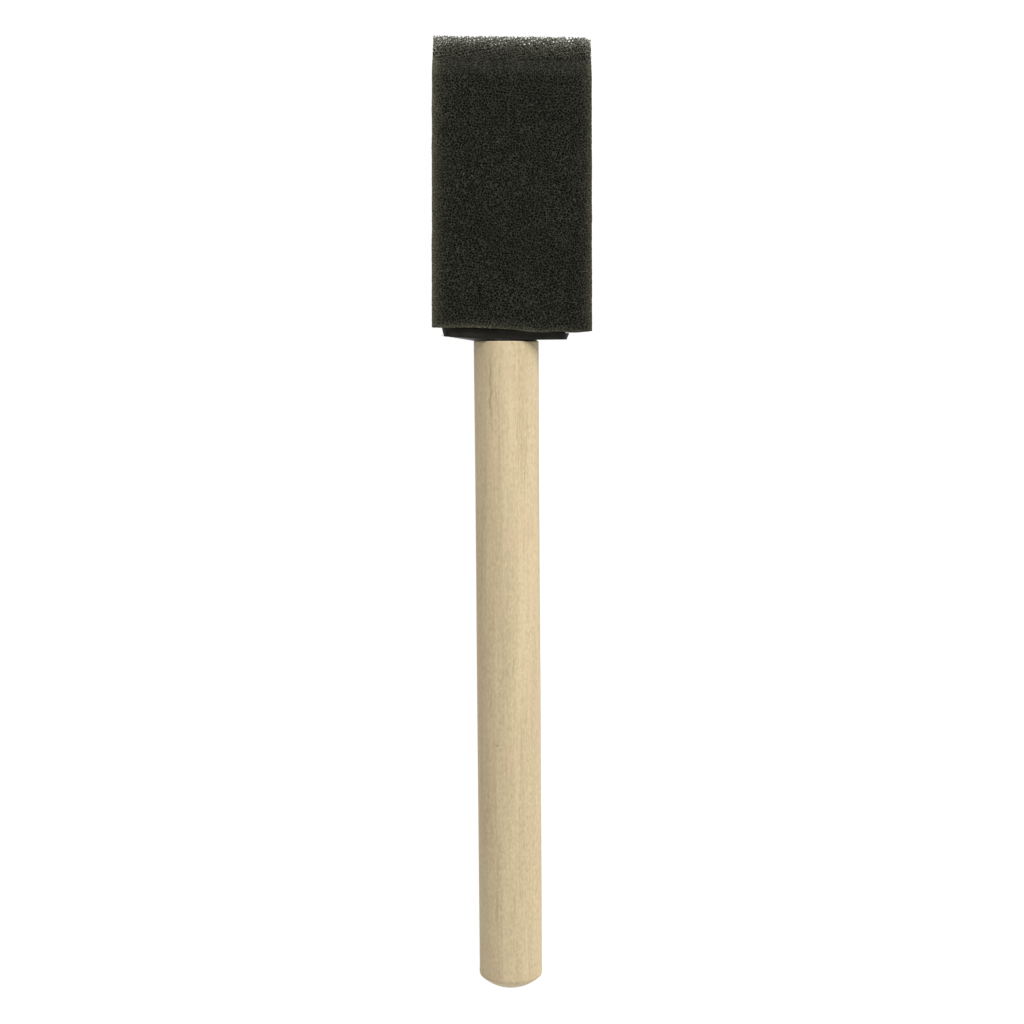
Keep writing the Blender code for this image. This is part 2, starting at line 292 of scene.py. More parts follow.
foamShape = {
    "step": 0.00015,            # spacing of the surface's points
    "bevelLength": 0.0067,
    "edgeThickness": 0.0018,
    "crown": 0.00022,           # how far the front swells over the core
    "sideHollow": 0.00012,      # how far the narrow sides draw in
    "edgeSkew": 0.00015,        # the painting edge is this far out of square at each side
    "cornerNick": 0.00045,      # and its right corner is nicked by this much
    "baseLeft": 0.00212,        # the base's height above the handle's shoulder at its left side
    "baseRight": 0.00165,
    "lipDrop": 0.00042,         # the base sags this far over the collar
    "lipCentre": 0.0058,
    "lipWidth": 0.0062,
    "lipRim": (0.0046, 0.0056), # and only at the front and back, between these distances from the middle
    "rimWave": 0.00006,         # height of the rim's low waves
    "rimWaveRate": 900,         # their radians per metre
    "pocketGap": 0.00035,       # room round the core inside the foam
    "pocketDraw": 0.0011,       # the pocket's end is narrower than the core by this much at each side
    "pocketMouthDraw": 0.0001,  # and its mouth by this much
    "bossRadius": 0.0043,
    "bossEnd": 0.0116,
    "bladeHalf": 0.00195,
    "cell": 0.00040,            # mean width of an open cell
    "pitDepth": 0.00010,
    "lump": 0.00004,            # height of the low lumps
    "lumpSize": 0.0021,
    "turn": (0.61, 0.83, 0.37), # the cells' own axes, turned away from the block's
    "recess": 0.0042,           # the solid skin starts to thin this far back from the painting edge
    "recessEnd": 0.0013,        # and stops this far short of it, give or take its ragged end
    "ragged": 0.00025,
    "raggedSizes": (0.0008, 0.0003),
    "bendGap": 0.0008,          # how far past the core's end a bend would start
}
foamTone = {
    "web": 0.00042,             # mean width of a cell in the fine pattern
    "dust": 0.00021,
    "specks": (1000.0, 0.13),   # count per metre, and size as a share of their spacing
    "contrast": 1.9,
    # painted shade: the dark colour inside the open cells
    "pitShade": (0.0022, 0.0022, 0.0016),
    "wall": (0.0490, 0.0505, 0.0385),
    "glint": (0.15, 0.15, 0.13),
    "lit": (0.146, 0.138, 0.094),
    "leftGlow": 1.00,           # light that leaks through the block's long corners, as a share of lit
    "rightGlow": 0.72,
    "leftReach": 0.00068,
    "rightReach": 0.00055,
    "tipGlow": 0.80,
    "tipReach": 0.0011,
    "bevelGlow": 0.05,
    "baseFade": 1.8,            # the glow fades this much faster from the base than from the other faces
}


def foamMaterial():
    # charcoal open-cell foam: pits painted dark as shade, paler walls, and a warm glow where light leaks
    # through thin edges
    material, tree, surface = newMaterial("charcoalFoam")
    vector = place(tree)
    turned = place(tree, turn=foamShape["turn"])
    inputs = {"Vector": turned, "Scale": 1 / foamTone["web"], "Randomness": 0.85}
    web = addNode(tree, "ShaderNodeTexVoronoi", inputs, feature="DISTANCE_TO_EDGE").outputs["Distance"]
    web = remap(tree, web, 0.01, 0.20, 1.0, 0.0)
    dust = noise(tree, vector, foamTone["dust"], 1.0)
    spots, clouds = addSpecks(tree, vector, *foamTone["specks"])
    wall = maths(tree, "POWER", readAttribute(tree, "cellWall"), 1.3)
    grain = maths(tree, "ADD", maths(tree, "MULTIPLY", wall, 0.38), maths(tree, "MULTIPLY", web, 0.50))
    grain = maths(tree, "ADD", grain, remap(tree, dust, 0.35, 0.65, -0.16, 0.24))
    grain = maths(tree, "POWER", remap(tree, grain, 0.12, 0.85), foamTone["contrast"])
    grain = maths(tree, "MULTIPLY", grain, remap(tree, clouds, 0.3, 0.7, 0.82, 1.18), clamp=True)
    glint = maths(tree, "MULTIPLY", spots, remap(tree, grain, 0.3, 0.8), clamp=True)
    # painted shade: the pits take a near-black colour for the shade inside the cells, the walls the foam's
    # own colour
    colour = mixColours(tree, grain, foamTone["pitShade"], foamTone["wall"])
    colour = mixColours(tree, glint, colour, foamTone["glint"])
    uneven = remap(tree, grain, 0.0, 1.0, 0.5, 1.3)
    glow = maths(tree, "MULTIPLY", readAttribute(tree, "glow"), uneven, clamp=True)
    colour = mixColours(tree, glow, colour, foamTone["lit"])
    tree.links.new(colour, surface.inputs["Base Color"])
    tree.links.new(remap(tree, glint, 0.0, 1.0, 0.95, 0.5), surface.inputs["Roughness"])
    addBump(tree, surface, grain, 0.00005, 0.7)
    surface.inputs["Specular IOR Level"].default_value = 0.08
    return material


def halfThickness(y):
    # half the foam's thickness: even, then a straight bevel down to the painting edge
    full = (headHigh[2] - headLow[2]) / 2
    thin = foamShape["edgeThickness"] / 2
    return thin + (full - thin) * np.clip((tipHigh[1] - y) / foamShape["bevelLength"], 0, 1)


def halfWidth(y):
    # half the foam's width: a straight taper from the base to the painting edge
    along = (y - headLow[1]) / (tipHigh[1] - headLow[1])
    return headHigh[0] + (tipHigh[0] - headHigh[0]) * np.clip(along, 0, 1)


def baseLine(x, z):
    # the base's place along Y: it slants across the width, and its rim waves, and sags in a lip over the
    # collar
    slant = np.interp(x, [headLow[0], headHigh[0]], [foamShape["baseLeft"], foamShape["baseRight"]])
    lip = np.exp(-(((x - foamShape["lipCentre"]) / foamShape["lipWidth"]) ** 4))
    wave = foamShape["rimWave"] * np.sin(x * foamShape["rimWaveRate"] + 1)
    rim = ease(np.abs(z), *foamShape["lipRim"])
    return shoulderY + slant - rim * (foamShape["lipDrop"] * lip - wave)


def edgeLine(x):
    # the painting edge's place along Y: a little out of square, with its right corner nicked
    nick = ease(x, tipHigh[0] - 2 * foamShape["cornerNick"], tipHigh[0])
    return tipHigh[1] - foamShape["edgeSkew"] * (x / tipHigh[0]) - foamShape["cornerNick"] * nick


def recessed(y):
    # the share of the foam's thickness that the skin has: all of it, then a straight fall to nothing near
    # the painting edge, where open struts take over
    length = foamShape["recess"] - foamShape["recessEnd"]
    return 1 - np.clip((y - tipHigh[1] + foamShape["recess"]) / length, 0, 1)


def glowAt(points, tipReach):
    # how much light leaks through: it dies away with the distance from the thin edge, and from the block's
    # corners, which is the sum of the depths under the two nearest faces; the bevel has a little all over
    x, y, z = (points[..., i] for i in range(3))
    toBase = foamTone["baseFade"] * (y - baseLine(x, z))
    depths = np.stack([halfWidth(y) - np.abs(x), halfThickness(y) - np.abs(z), toBase])
    depths = np.sort(np.maximum(depths, 0), axis=0)
    toCorner = depths[0] + depths[1]
    toTip = np.maximum(edgeLine(x) - y, 0)
    right = ease(x, headLow[0], headHigh[0])
    amount = foamTone["leftGlow"] + (foamTone["rightGlow"] - foamTone["leftGlow"]) * right
    reach = foamTone["leftReach"] * (1 - right) + foamTone["rightReach"] * right
    side = amount * np.exp(-toCorner / reach)
    tip = foamTone["tipGlow"] * np.exp(-toTip / tipReach)
    length = foamShape["bevelLength"]
    bevel = foamTone["bevelGlow"] * (1 - ease(toTip, 0.8 * length, length))
    return np.clip(side + tip + bevel, 0, 1)


def foamSkin():
    # a closed sleeve of rectangular loops, on which p goes from -1 to 1 across and q through: the end and
    # walls of a pocket for the core, the base, and the block out to the painting edge
    half = (headHigh[2] - headLow[2]) / 2
    wide = int(round((headHigh[0] - headLow[0]) / foamShape["step"]))
    deep = int(round(2 * half / foamShape["step"]))
    across = np.linspace(-1, 1, wide, endpoint=False)
    through = np.linspace(1, -1, deep, endpoint=False)
    p = np.concatenate([across, np.ones(deep), -across, -np.ones(deep)])[None]
    q = np.concatenate([np.ones(wide), through, -np.ones(wide), -through])[None]

    gap = foamShape["pocketGap"]
    end = coreHigh[1] + gap
    mouth = shoulderY + foamShape["baseRight"] + gap
    endRows, wallRows, baseRows = 8, 39, 29
    y = np.concatenate([np.full(endRows, end), np.linspace(end, mouth, wallRows + 1)[1:]])[:, None]
    share = np.concatenate([np.linspace(0, 1, endRows), np.ones(wallRows)])[:, None]
    widening = (foamShape["pocketDraw"] - foamShape["pocketMouthDraw"]) * share
    pocketHalf = (coreHigh[0] - coreLow[0]) / 2 - foamShape["pocketDraw"] + widening
    pocketX = (coreLow[0] + coreHigh[0]) / 2 + pocketHalf * p
    boss = np.sqrt(np.maximum((foamShape["bossRadius"] + gap) ** 2 - (pocketX - handleTopX) ** 2, 0))
    bossEnd = shoulderY + foamShape["bossEnd"]
    boss = boss * (1 - ease(y, bossEnd, bossEnd + 2 * gap))
    z = share * np.maximum(foamShape["bladeHalf"], boss) * q
    pocket = np.stack(np.broadcast_arrays(pocketX, y, z), axis=-1)

    part = np.linspace(0, 1, baseRows + 1)[1:, None]
    x = pocket[-1, :, 0] * (1 - part) + halfWidth(headLow[1]) * p * part
    z = pocket[-1, :, 2] * (1 - part) + half * q * part
    base = np.stack([x, baseLine(x, z), z], axis=-1)

    stop = tipHigh[1] - foamShape["recessEnd"]
    part = np.linspace(0, 1, int(round((stop - headLow[1]) / foamShape["step"])))[1:, None]
    level = headLow[1] + (stop - headLow[1]) * part
    swell = np.sin(math.pi * np.minimum(part * 1.5, 1))
    crown = foamShape["crown"] * swell * (1 - p**2) * np.maximum(q, 0)
    x = halfWidth(level) * p - foamShape["sideHollow"] * (1 - q**2) * p
    z = halfThickness(level) * recessed(level) * q + crown
    start = baseLine(x, half * q)
    spread = np.stack([x[0], 0 * x[0], 0 * x[0]], axis=-1)
    coarse, fine = foamShape["raggedSizes"]
    ragged = smoothNoise(spread, coarse, 8) + 0.5 * smoothNoise(spread, fine, 9)
    ragged = foamShape["ragged"] * ragged
    y = start + (stop - foamShape["edgeSkew"] * p + ragged - start) * part
    block = np.stack([x, y, z], axis=-1)
    hidden = len(pocket) + len(base) // 2
    return np.concatenate([pocket, base, block]), hidden


def blendFoam(piece):
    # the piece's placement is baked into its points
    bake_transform(piece)


def makeFoamBlock():
    # the sleeve moved along its normals: open cells of two sizes sunk in as pits, and low lumps, only where
    # it shows
    grid, hidden = foamSkin()
    rows, columns = grid.shape[:2]
    turned = grid @ np.array(Euler(foamShape["turn"]).to_matrix())
    cell = foamShape["cell"]
    wall = 0.65 * cellWalls(turned, cell, 5) + 0.35 * cellWalls(turned, cell * 0.6, 6)
    lumps = foamShape["lump"] * smoothNoise(grid, foamShape["lumpSize"], 7)
    relief = foamShape["pitDepth"] * (wall - 1) + lumps
    row = np.arange(rows)[:, None]
    shown = ease(row, hidden, hidden + 8) * ease(rows - 1 - row, 0, 2)
    skin = grid + gridNormals(grid) * (relief * shown)[..., None]
    faces, layout = gridFaces(rows, columns)
    attributes = {"cellWall": wall, "glow": glowAt(skin, foamTone["tipReach"])}
    skin[..., 2] += axisHeight
    block = makeMesh("foamBlock", skin.reshape(-1, 3), [faces], layout, attributes, foamMaterial())
    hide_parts("foam_head", "foam_tip")
    blendFoam(block)
    return block


# the open struts at the painting edge

strutNet = {
    "lattice": 0.00066,         # width of the repeating box, which holds two cells
    "jitter": 0.19,             # how far each corner strays, as a share of the box
    "drift": 0.45,              # and how far whole regions do
    "driftSize": 0.0013,
    "radius": 0.0000375,
    "overlap": 0.4,             # a strut reaches this share of its radius past each corner
    "sunk": 0.0001,             # struts start this far under the skin
    "turn": (0.93, 0.41, 0.27), # the lattice's own axes, turned away from the block's
}
strutTone = {
    "specks": (1700.0, 0.3),
    "tones": 0.0002,
    "dark": (0.024, 0.024, 0.017),
    "plain": (0.078, 0.076, 0.054),
    "lit": (0.460, 0.446, 0.350),
    "reach": 0.0016,            # how far the painted glow of light leaking through reaches back from the painting edge
}


def strutMaterial():
    # bare struts: charcoal, with a paler, warmer painted glow where light leaks through near the painting
    # edge, and the odd painted glint
    material, tree, surface = newMaterial("openStruts")
    vector = place(tree)
    spots, clouds = addSpecks(tree, vector, *strutTone["specks"])
    tone = remap(tree, noise(tree, vector, strutTone["tones"], 1.0), 0.35, 0.65)
    colour = mixColours(tree, tone, strutTone["dark"], strutTone["plain"])
    uneven = remap(tree, clouds, 0.3, 0.7, 0.7, 1.1)
    # painted light: the glow that leaks through the thin edge, stronger on some struts than others
    glow = maths(tree, "MULTIPLY", readAttribute(tree, "glow"), uneven, clamp=True)
    colour = mixColours(tree, glow, colour, strutTone["lit"])
    colour = mixColours(tree, maths(tree, "MULTIPLY", spots, 0.5), colour, foamTone["glint"])
    tree.links.new(colour, surface.inputs["Base Color"])
    tree.links.new(remap(tree, spots, 0.0, 1.0, 0.85, 0.45), surface.inputs["Roughness"])
    addBump(tree, surface, tone, 0.00001)
    surface.inputs["Specular IOR Level"].default_value = 0.15
    return material


def strutLines():
    # the edges of packed fourteen-sided cells, whose corners lie 0, 1 and 2 quarters of a box along the
    # three axes in every order and sign; the packing is turned, and its corners stray
    orders = np.array([(0, 1, 2), (0, 2, 1), (1, 0, 2), (1, 2, 0), (2, 0, 1), (2, 1, 0)])
    signs = np.array(list(np.ndindex(2, 2, 2))) * 2 - 1
    corners = np.unique((orders[:, None] * signs[None]).reshape(-1, 3), axis=0)
    apart = ((corners[:, None] - corners[None]) ** 2).sum(axis=2)
    first, second = np.nonzero(np.triu(apart == 2))
    size = strutNet["lattice"]
    turn = np.array(Euler(strutNet["turn"]).to_matrix())
    reach = foamShape["recess"]
    middle = np.array([0, tipHigh[1] - reach / 2, 0])
    half = np.array([tipHigh[0], reach / 2, halfThickness(tipHigh[1] - reach)]) + size
    count = int(np.ceil(np.linalg.norm(half) / size))
    line = np.arange(-count, count + 1)
    boxes = 4 * np.stack(np.meshgrid(line, line, line, indexing="ij"), axis=-1).reshape(-1, 3)
    centres = np.concatenate([boxes, boxes + 2])
    centres = centres[(np.abs(centres * (size / 4) @ turn.T) < half).all(axis=1)]
    nodes, index = np.unique((centres[:, None] + corners).reshape(-1, 3), axis=0, return_inverse=True)
    index = index.reshape(len(centres), -1)
    pairs = np.stack([index[:, first], index[:, second]], axis=-1).reshape(-1, 2)
    pairs = np.unique(np.sort(pairs, axis=1), axis=0)
    spots = nodes * (size / 4) + (cellRandom(nodes, 11) - 0.5) * 2 * strutNet["jitter"] * size
    spots = spots @ turn.T + middle
    drift = [smoothNoise(spots, strutNet["driftSize"], seed) for seed in (21, 22, 23)]
    drift = np.stack(drift, axis=1)
    return spots + strutNet["drift"] * size * drift, pairs


def inWedge(points):
    # within the block's cut faces
    x, y, z = (points[:, i] for i in range(3))
    return (np.abs(z) < halfThickness(y)) & (np.abs(x) < halfWidth(y)) & (y < edgeLine(x))


def pastSkin(points):
    # outside the solid skin, or only just within it, near the painting edge
    y, z = points[:, 1], points[:, 2]
    outside = np.abs(z) > halfThickness(y) * recessed(y) - strutNet["sunk"]
    return outside & (y > tipHigh[1] - foamShape["recess"])


def makeStruts():
    # a closed three-sided prism along each line, a little longer than it so that neighbours overlap: three
    # points round the line at either end, joined by three sides and two caps
    spots, pairs = strutLines()
    reached = inWedge(spots)
    pairs = pairs[(reached[pairs].any(axis=1)) & pastSkin(spots)[pairs].all(axis=1)]
    starts, ends = spots[pairs[:, 0]].copy(), spots[pairs[:, 1]].copy()
    low = np.zeros((len(pairs), 1))
    high = np.ones((len(pairs), 1))
    swap = ~reached[pairs[:, 0]]
    starts[swap], ends[swap] = ends[swap].copy(), starts[swap].copy()
    whole = reached[pairs].all(axis=1)[:, None]
    for halving in range(7):                    # a strut that crosses a cut face ends on it
        middle = (low + high) / 2
        inside = inWedge(starts + (ends - starts) * middle)[:, None]
        low, high = np.where(inside, middle, low), np.where(inside, high, middle)
    ends = np.where(whole, ends, starts + (ends - starts) * low)
    longEnough = np.linalg.norm(ends - starts, axis=1) > strutNet["radius"]
    pairs, starts, ends = pairs[longEnough], starts[longEnough], ends[longEnough]
    along = (ends - starts) / np.linalg.norm(ends - starts, axis=1, keepdims=True)
    chance = cellRandom(np.stack([pairs[:, 0], pairs[:, 1], pairs[:, 0]], axis=1), 31)
    radius = strutNet["radius"] * (0.7 + 0.6 * chance[:, :1])
    guide = np.where(np.abs(along[:, :1]) < 0.7, np.array([[1.0, 0, 0]]), np.array([[0, 1.0, 0]]))
    u = np.cross(along, guide)
    u /= np.linalg.norm(u, axis=1, keepdims=True)
    v = np.cross(along, u)
    angles = chance[:, 1:2] * 2 * math.pi + np.arange(3) * 2 * math.pi / 3
    cosine, sine = np.cos(angles)[..., None], np.sin(angles)[..., None]
    ring = radius[..., None] * (cosine * u[:, None] + sine * v[:, None])
    reach = strutNet["overlap"] * along * radius
    points = np.concatenate([(starts - reach)[:, None] + ring, (ends + reach)[:, None] + ring], axis=1)
    points = points.reshape(-1, 3)
    first = np.arange(len(pairs))[:, None] * 6
    sides = [first + np.array([[k, (k + 1) % 3, (k + 1) % 3 + 3, k + 3]]) for k in range(3)]
    sides = np.stack(sides, axis=1)
    caps = np.stack([first + np.array([[2, 1, 0]]), first + np.array([[3, 4, 5]])], axis=1)

    columns = int(math.ceil(math.sqrt(len(pairs))))
    cell = np.stack([np.arange(len(pairs)) % columns, np.arange(len(pairs)) // columns], axis=1)
    square = np.array([[0, 0], [1, 0], [1, 1], [0, 1]])
    third = square * [1 / 3, 1] + np.array([[k / 3, 0] for k in range(3)])[:, None]
    sideLayout = (cell[:, None, None] + third[None]).reshape(-1, 2) / columns
    capLayout = (cell[:, None, None] + square[None, None, :3]).repeat(2, axis=1).reshape(-1, 2) / columns
    lively = 0.3 + 2.4 * chance[:, 2] ** 3
    attributes = {"glow": glowAt(points, strutTone["reach"]) * lively.repeat(6)}
    points[:, 2] += axisHeight
    faceSets = [sides.reshape(-1, 4), caps.reshape(-1, 3)]
    layout = np.concatenate([sideLayout, capLayout])
    material = strutMaterial()
    struts = makeMesh("foamStruts", points, faceSets, layout, attributes, material, closePoles=False)
    blendFoam(struts)
    return struts


# the wooden handle

dowelShape = {
    "tenonRadius": 0.0031,
    "tenonRound": 0.0005,
    "shoulderChamfer": 0.00016,
    "domeHeight": 0.0022,
    "around": 200,              # points round the handle
    "step": 0.00030,            # and their spacing along it
    "fibre": 0.000010,          # height of the raised fibres
    "fibreSize": (0.0004, 0.009, 0.0004),
    "wander": 0.00003,          # how far the handle is out of round
    "wanderSize": (0.02, 0.03, 0.02),
    "markDepth": 0.00003,
    "shift": 0.00012,           # the handle sits this far to the right of its tenon
}
dowelMarks = [
    # degrees round from the top, distance from the shoulder, length along, width round, strength
    (-29.0, 0.0081, 0.0095, 0.00016, 0.40),
    (8.5, 0.0513, 0.0030, 0.00013, 0.32),
    (-21.5, 0.0645, 0.0004, 0.00022, 0.55),
    (41.0, 0.0300, 0.0042, 0.00012, 0.20),
    (-52.0, 0.0790, 0.0060, 0.00014, 0.22),
    (150.0, 0.0400, 0.0080, 0.00016, 0.35),
    (205.0, 0.0700, 0.0050, 0.00016, 0.30),
]
birch = {
    "fleckSize": 0.00024,
    "fibreSize": 0.00050,
    "bandSize": 0.0026,
    "mottleSize": 0.00055,
    "blushSize": 0.0045,
    "veinSize": 0.0011,
    "pores": (2300.0, 0.34),
    "ringScale": 420.0,
    "ringCentre": (0.011, 0, -0.004),
    "pale": (0.740, 0.606, 0.385),
    "deep": (0.540, 0.430, 0.258),
    "pink": (0.720, 0.515, 0.345),
    "line": (0.380, 0.290, 0.170),
    "mark": (0.170, 0.115, 0.070),
    # the cut end's ring colour, painted paler than the side grain to lift the shade on the dome
    "endGrainPaintedLight": (0.860, 0.740, 0.520),
}


def birchMaterial():
    # short flecks and longer fibres along the handle, soft growth bands, thin dark lines, pinkish patches,
    # and growth rings on the cut end, whose colour is painted paler to lift the shade on the dome
    material, tree, surface = newMaterial("birch")
    lean = (0, 0, -math.atan2(handleTopX - handleEndX, handleLength))
    vector = place(tree, stretch=(1, 2.6, 1), turn=lean)
    flecks = noise(tree, vector, birch["fleckSize"], 2.0, 0.6)
    vector = place(tree, stretch=(1, 40, 1), turn=lean)
    fibres = noise(tree, vector, birch["fibreSize"], 3.0, 0.6)
    vector = place(tree, stretch=(1, 14, 1), turn=lean, centre=(0.002, 0, 0.011))
    bands = noise(tree, vector, birch["bandSize"], 2.0, 0.5)
    vector = place(tree, stretch=(1, 1.6, 1), turn=lean)
    mottle = noise(tree, vector, birch["mottleSize"], 3.0, 0.65)
    vector = place(tree, stretch=(1, 2.5, 1), turn=lean)
    blush = noise(tree, vector, birch["blushSize"], 1.0)
    vector = place(tree, stretch=(1, 55, 1), turn=lean, centre=(0.001, 0, 0.003))
    veins = noise(tree, vector, birch["veinSize"], 1.0)
    pores, clouds = addSpecks(tree, place(tree, stretch=(1, 7, 1), turn=lean), *birch["pores"])

    tone = remap(tree, flecks, 0.3, 0.7, -0.30, 0.30)
    tone = maths(tree, "ADD", tone, remap(tree, fibres, 0.3, 0.7, -0.16, 0.16))
    tone = maths(tree, "ADD", tone, remap(tree, bands, 0.3, 0.7, 0.38, 0.84))
    tone = maths(tree, "ADD", tone, remap(tree, mottle, 0.3, 0.7, -0.22, 0.22), clamp=True)
    colour = mixColours(tree, tone, birch["deep"], birch["pale"])
    patchy = remap(tree, mottle, 0.42, 0.64, 0.1, 0.75)
    rosy = maths(tree, "MULTIPLY", remap(tree, blush, 0.50, 0.66), patchy)
    colour = mixColours(tree, rosy, colour, birch["pink"])
    thin = maths(tree, "ABSOLUTE", maths(tree, "SUBTRACT", veins, 0.5))
    colour = mixColours(tree, remap(tree, thin, 0.0, 0.012, 0.34, 0.0), colour, birch["line"])
    colour = mixColours(tree, maths(tree, "MULTIPLY", pores, 0.16), colour, birch["line"])
    vector = place(tree, centre=birch["ringCentre"])
    inputs = {"Vector": vector, "Scale": birch["ringScale"], "Distortion": 1.2, "Detail": 2.0}
    rings = addNode(tree, "ShaderNodeTexWave", inputs, wave_type="RINGS", rings_direction="Y")
    rings = remap(tree, rings.outputs["Fac"], 0.0, 1.0, 0.25, 0.65)
    # painted light: the rings on the cut ends take a paler colour that lifts the shade on the dome
    ends = maths(tree, "MULTIPLY", readAttribute(tree, "endCut"), rings)
    colour = mixColours(tree, ends, colour, birch["endGrainPaintedLight"])
    colour = mixColours(tree, readAttribute(tree, "mark"), colour, birch["mark"])
    tree.links.new(colour, surface.inputs["Base Color"])
    tree.links.new(remap(tree, tone, 0.0, 1.0, 0.80, 0.62), surface.inputs["Roughness"])
    addBump(tree, surface, maths(tree, "SUBTRACT", tone, pores), 0.000012)
    surface.inputs["Specular IOR Level"].default_value = 0.25
    return material


def dowelProfile():
    # radius and place along Y from the tenon's end to the dome's centre, with a point every step; the dome
    # is the cap of a sphere through the handle's rim and the dome's top
    chamfer = dowelShape["shoulderChamfer"]
    tenon = dowelShape["tenonRadius"]
    dome = dowelShape["domeHeight"]
    small = dowelShape["tenonRound"]
    sphere = (dowelRadius**2 + dome**2) / (2 * dome)
    fall = np.linspace(math.asin(dowelRadius / sphere) - 0.02, 0, 26)
    domeLine = np.stack([sphere * np.sin(fall), dowelLow[1] + sphere * (1 - np.cos(fall))], axis=1)
    corners = np.array([
        (0, dowelHigh[1]),
        (tenon - small, dowelHigh[1]),
        (tenon, dowelHigh[1] - small),
        (tenon, shoulderY),
        (dowelRadius - chamfer, shoulderY),
        (dowelRadius - 0.3 * chamfer, shoulderY - 0.3 * chamfer),
        (dowelRadius, shoulderY - chamfer),
        (dowelRadius, dowelLow[1] + dome + 0.0002),
    ])
    corners = np.concatenate([corners, domeLine])
    travel = np.concatenate([[0], np.cumsum(np.linalg.norm(np.diff(corners, axis=0), axis=1))])
    even = np.arange(0, travel[-1], dowelShape["step"])
    at = np.unique(np.concatenate([travel, even]).round(7))
    return np.interp(at, travel, corners[:, 0]), np.interp(at, travel, corners[:, 1])


def markStrength(angle, drop):
    # the strongest of the marks at each place: a bell across each mark, and a flat-topped one along it
    mark = np.zeros(np.broadcast(angle, drop).shape)
    for degrees, markDrop, length, width, strength in dowelMarks:
        around = (angle - math.radians(degrees) + math.pi) % (2 * math.pi) - math.pi
        wobble = 0.8 * width * np.sin(drop * 1900 + degrees)
        across = np.exp(-(((around * dowelRadius + wobble) / width) ** 2))
        mark = np.maximum(mark, strength * across * np.exp(-(((drop - markDrop) / (length / 2)) ** 4)))
    return mark


def makeHandle():
    # the profile turned about the handle's leaning centre line, with fibres raised and marks pressed in
    radius, y = (values[:, None] for values in dowelProfile())
    angle = np.linspace(2 * math.pi, 0, dowelShape["around"], endpoint=False)[None]
    wrapped = np.broadcast_arrays(radius * np.cos(angle), y, radius * np.sin(angle))
    wrapped = np.stack(wrapped, axis=-1)
    mark = markStrength(angle, shoulderY - y)
    fibre = dowelShape["fibre"] * smoothNoise(wrapped, dowelShape["fibreSize"], 41)
    wander = np.cos(2 * angle + 0.7) + smoothNoise(wrapped, dowelShape["wanderSize"], 42)
    wander = dowelShape["wander"] * wander
    domeStart = dowelLow[1] + dowelShape["domeHeight"]
    outside = (radius > dowelRadius * 0.97) & (y < shoulderY)
    outside = outside * ease(y, domeStart, domeStart + 0.0018)
    total = radius + (fibre + wander - dowelShape["markDepth"] * mark) * outside
    centre = handleTopX + (handleEndX - handleTopX) * (shoulderY - y) / handleLength
    centre = centre + dowelShape["shift"] * ease(shoulderY - y, -0.0005, 0)
    columns = (centre + total * np.sin(angle), y, axisHeight + total * np.cos(angle))
    points = np.stack(np.broadcast_arrays(*columns), axis=-1)
    endCut = ease(-y, -domeStart - 0.0001, -domeStart + 0.0003)
    endCut = endCut + ease(y, shoulderY - 0.0002, shoulderY)
    attributes = {"mark": mark, "endCut": np.broadcast_to(endCut, mark.shape)}
    faces, layout = gridFaces(*mark.shape)
    points = points.reshape(-1, 3)
    handle = makeMesh("birchHandle", points, [faces], layout, attributes, birchMaterial())
    handle.data.set_sharp_from_angle(angle=math.radians(60))
    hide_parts("handle_dowel")
    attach(handle, joint["parent"])
    return handle


# the plastic core

coreFinish = {
    "rounding": 0.00016,
    "collarTop": (0.00122, 0.0019), # the collar's top lies between these heights above the shoulder
    "collarSlant": 0.020,       # it rises by this share of the distance to the left of slantFrom
    "slantFrom": 0.0080,
    "skirtRadius": 0.0050,       # a dark skirt under the collar meets the handle's shoulder: it closes the gap and stands in for the contact shadow
    "skirtTop": 0.00085,
    "flareHalf": (0.0077, 0.0043),
    "flareX": -0.0026,          # the skirt flares out to one side on its way up to the collar
    "specks": (2300.0, 0.42),
    "grain": 0.00019,
    "black": (0.0080, 0.0076, 0.0056),
    # pale colour for the dust specks and for the painted highlight on the corners
    "edgeHighlightAndDust": (0.046, 0.042, 0.033),
}


def plasticMaterial():
    # satin black moulding: a fine eroded skin, dusty specks, and convex corners painted paler as a
    # highlight
    material, tree, surface = newMaterial("blackPlastic")
    vector = place(tree)
    spots, clouds = addSpecks(tree, vector, *coreFinish["specks"])
    # painted highlight: the convex corners are painted paler, as if they caught the light
    corner = addNode(tree, "ShaderNodeNewGeometry").outputs["Pointiness"]
    patchy = remap(tree, clouds, 0.35, 0.65, 0.3, 1.0)
    edgeHighlightAndDust = maths(tree, "MULTIPLY", remap(tree, corner, 0.51, 0.60), patchy)
    colour = mixColours(tree, edgeHighlightAndDust, coreFinish["black"], coreFinish["edgeHighlightAndDust"])
    colour = mixColours(tree, maths(tree, "MULTIPLY", spots, 0.40), colour, coreFinish["edgeHighlightAndDust"])
    tree.links.new(colour, surface.inputs["Base Color"])
    tree.links.new(remap(tree, clouds, 0.2, 0.8, 0.36, 0.54), surface.inputs["Roughness"])
    addBump(tree, surface, noise(tree, vector, coreFinish["grain"], 2.0), 0.000006)
    surface.inputs["Specular IOR Level"].default_value = 0.22
    return material


